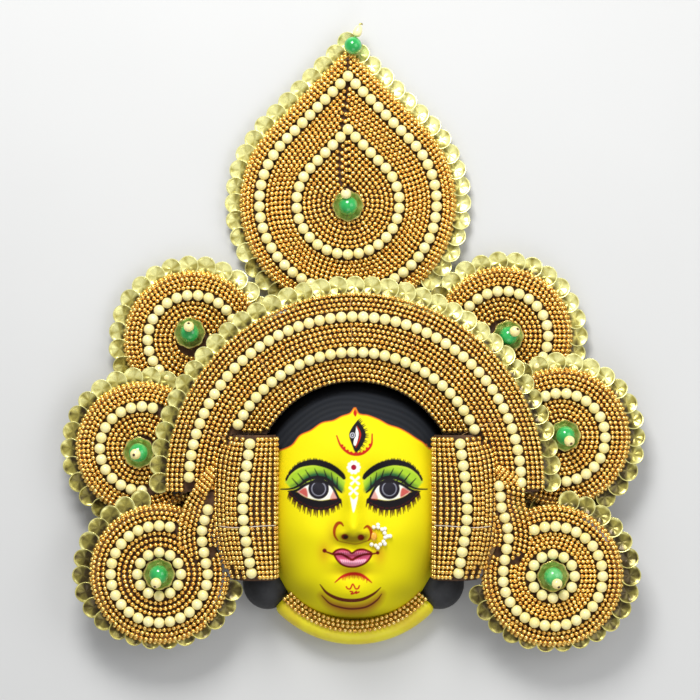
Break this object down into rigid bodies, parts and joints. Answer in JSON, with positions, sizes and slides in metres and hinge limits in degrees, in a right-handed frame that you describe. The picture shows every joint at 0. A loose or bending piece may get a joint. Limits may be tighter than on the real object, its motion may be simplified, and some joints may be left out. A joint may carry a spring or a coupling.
{
  "type": "chhau dance mask",
  "caption": "Painted papier-mache goddess dance mask with a halo-like headdress of beaded boards, edged with foil discs",
  "frame": {"origin": "centre of the bounding box, on the floor plane the mask lies on", "axes": "+Y from the chin to the tip of the crest, +Z out of the face, +X to the viewer's right"},
  "size_m": [0.3756, 0.403, 0.0641],
  "materials": {
    "painted_papier_mache": "yellow paint, satin varnish",
    "backing_board": "dark brown paper over board",
    "gold_beads": "rows of metallised gold beads",
    "imitation_pearls": "pearlescent cream",
    "gold_foil": "yellow-gold foil discs",
    "green_beads": "milky green bead"
  },
  "bodies": {
    "root": {"crest_board": "backing_board", "crest_finial_beads": "green_beads", "crest_foil_discs": "gold_foil", "crest_gold_beads": "gold_beads", "crest_inner_pearls": "imitation_pearls", "crest_jewel": "green_beads", "crest_outer_pearls": "imitation_pearls", "crown_arch_board": "backing_board", "crown_arch_foil_discs": "gold_foil", "crown_arch_gold_beads": "gold_beads", "crown_arch_inner_pearls": "imitation_pearls", "crown_arch_outer_pearls": "imitation_pearls", "ear_band_left": "backing_board", "ear_band_left_gold_beads": "gold_beads", "ear_band_left_pearls": "imitation_pearls", "ear_band_right": "backing_board", "ear_band_right_gold_beads": "gold_beads", "ear_band_right_pearls": "imitation_pearls", "face_mask": "painted_papier_mache", "necklace_gold_beads": "gold_beads", "nose_ring": "gold_beads", "roundel_left_board": "backing_board", "roundel_left_foil_discs": "gold_foil", "roundel_left_gold_beads": "gold_beads", "roundel_left_inner_pearls": "imitation_pearls", "roundel_left_jewel": "green_beads", "roundel_left_outer_pearls": "imitation_pearls", "roundel_left_tail": "gold_beads", "roundel_left_tail_pearls": "imitation_pearls", "roundel_right_board": "backing_board", "roundel_right_foil_discs": "gold_foil", "roundel_right_gold_beads": "gold_beads", "roundel_right_inner_pearls": "imitation_pearls", "roundel_right_jewel": "green_beads", "roundel_right_outer_pearls": "imitation_pearls", "roundel_right_tail": "gold_beads", "roundel_right_tail_pearls": "imitation_pearls", "side_lobe_left_board": "backing_board", "side_lobe_left_foil_discs": "gold_foil", "side_lobe_left_gold_beads": "gold_beads", "side_lobe_left_jewel": "green_beads", "side_lobe_left_pearls": "imitation_pearls", "side_lobe_right_board": "backing_board", "side_lobe_right_foil_discs": "gold_foil", "side_lobe_right_gold_beads": "gold_beads", "side_lobe_right_jewel": "green_beads", "side_lobe_right_pearls": "imitation_pearls", "upper_lobe_left_board": "backing_board", "upper_lobe_left_foil_discs": "gold_foil", "upper_lobe_left_gold_beads": "gold_beads", "upper_lobe_left_jewel": "green_beads", "upper_lobe_left_pearls": "imitation_pearls", "upper_lobe_right_board": "backing_board", "upper_lobe_right_foil_discs": "gold_foil", "upper_lobe_right_gold_beads": "gold_beads", "upper_lobe_right_jewel": "green_beads", "upper_lobe_right_pearls": "imitation_pearls"}
  },
  "joints": []
}
